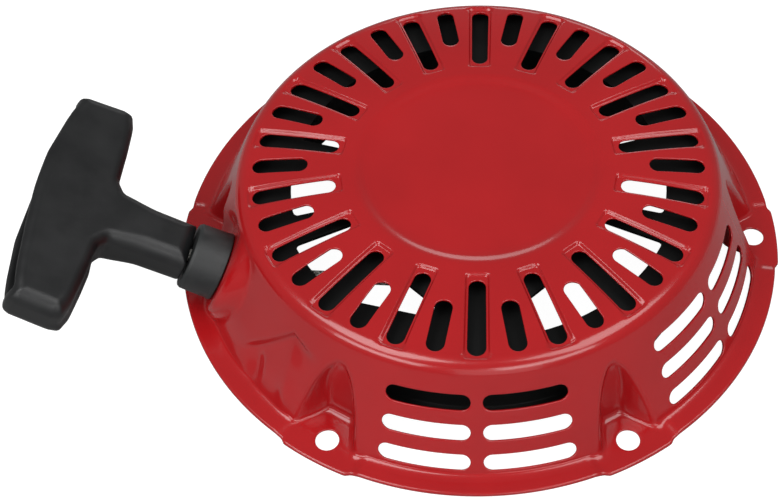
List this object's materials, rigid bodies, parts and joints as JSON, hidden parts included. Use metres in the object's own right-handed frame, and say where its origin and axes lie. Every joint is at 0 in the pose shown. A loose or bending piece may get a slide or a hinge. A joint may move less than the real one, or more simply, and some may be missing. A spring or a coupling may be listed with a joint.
{
  "type": "recoil starter",
  "caption": "Pull-start unit for a small engine: slotted pressed cover with a bolt flange, sprung rope reel with pawls, rope guide and T-shaped pull grip.",
  "frame": {"origin": "crank axis on the plane of the mounting flange, which is also the face of the centre screw's head", "axes": "+Z along the crank axis away from the engine, -X towards the side where the pull grip leaves, +Y completes the frame"},
  "size_m": [0.2865, 0.2348, 0.0595],
  "materials": {
    "red_enamel": "deep glossy red enamel",
    "black_enamel": "satin black enamel on pressed steel",
    "steel": "machined steel, satin",
    "zinc_steel": "zinc plated steel",
    "spring_steel": "blued spring strip",
    "spring_wire": "bright spring wire",
    "guide_rubber": "moulded black rubber",
    "reel_plastic": "glass-filled black nylon",
    "bronze": "sintered bronze",
    "rope": "braided nylon rope",
    "grip_plastic": "moulded black plastic, fine grain"
  },
  "bodies": {
    "case": {"case_cover": "red_enamel", "inner_shroud": "black_enamel", "centre_post": "steel", "centre_screw": "zinc_steel", "guide_washer": "zinc_steel", "rope_guide": "guide_rubber", "rope_run": "rope"},
    "handle": {"grip": "grip_plastic", "grip_washer": "zinc_steel", "grip_knot": "rope", "pull_rope": "rope"},
    "reel": {"reel": "reel_plastic", "reel_bush": "bronze", "rope_coil": "rope", "reel_knot": "rope", "pawl_pin_a": "zinc_steel", "pawl_pin_b": "zinc_steel", "pawl_spring_a": "spring_wire", "pawl_spring_b": "spring_wire", "main_spring": "spring_steel"},
    "guide": {"ratchet_guide": "zinc_steel", "friction_spring": "spring_wire"},
    "pawl_a": {"pawl_a": "steel"},
    "pawl_b": {"pawl_b": "steel"}
  },
  "joints": [
    {"name": "handle_pull", "type": "slide", "parent": "case", "child": "handle", "axis": [-0.8904, 0.1046, 0.4431], "range_m": [0, 1.2], "stiffness_N_per_m": 10, "springref_m": -1, "deforming": ["pull_rope"]},
    {"name": "reel_spin", "type": "hinge", "parent": "case", "child": "reel", "pos_m": [0, 0, 0.028], "axis": [0, 0, -1], "range_deg": [0, 1690], "deforming": ["main_spring"]},
    {"name": "guide_turn", "type": "hinge", "parent": "reel", "child": "guide", "pos_m": [0, 0, 0.0084], "axis": [0, 0, 1], "range_deg": [0, 30], "stiffness_Nm_per_rad": 0.02, "springref_deg": -28.65},
    {"name": "pawl_a_swing", "type": "hinge", "parent": "reel", "child": "pawl_a", "pos_m": [0.031, 0, 0.0152], "axis": [0, 0, 1], "range_deg": [0, 30]},
    {"name": "pawl_b_swing", "type": "hinge", "parent": "reel", "child": "pawl_b", "pos_m": [-0.031, 0, 0.0152], "axis": [0, 0, 1], "range_deg": [0, 30]}
  ],
  "couplings": [
    {"joint": "reel_spin", "follows": "handle_pull", "rad_per_m": 24.39},
    {"joint": "pawl_a_swing", "follows": "guide_turn", "ratio": 1},
    {"joint": "pawl_b_swing", "follows": "guide_turn", "ratio": 1}
  ]
}
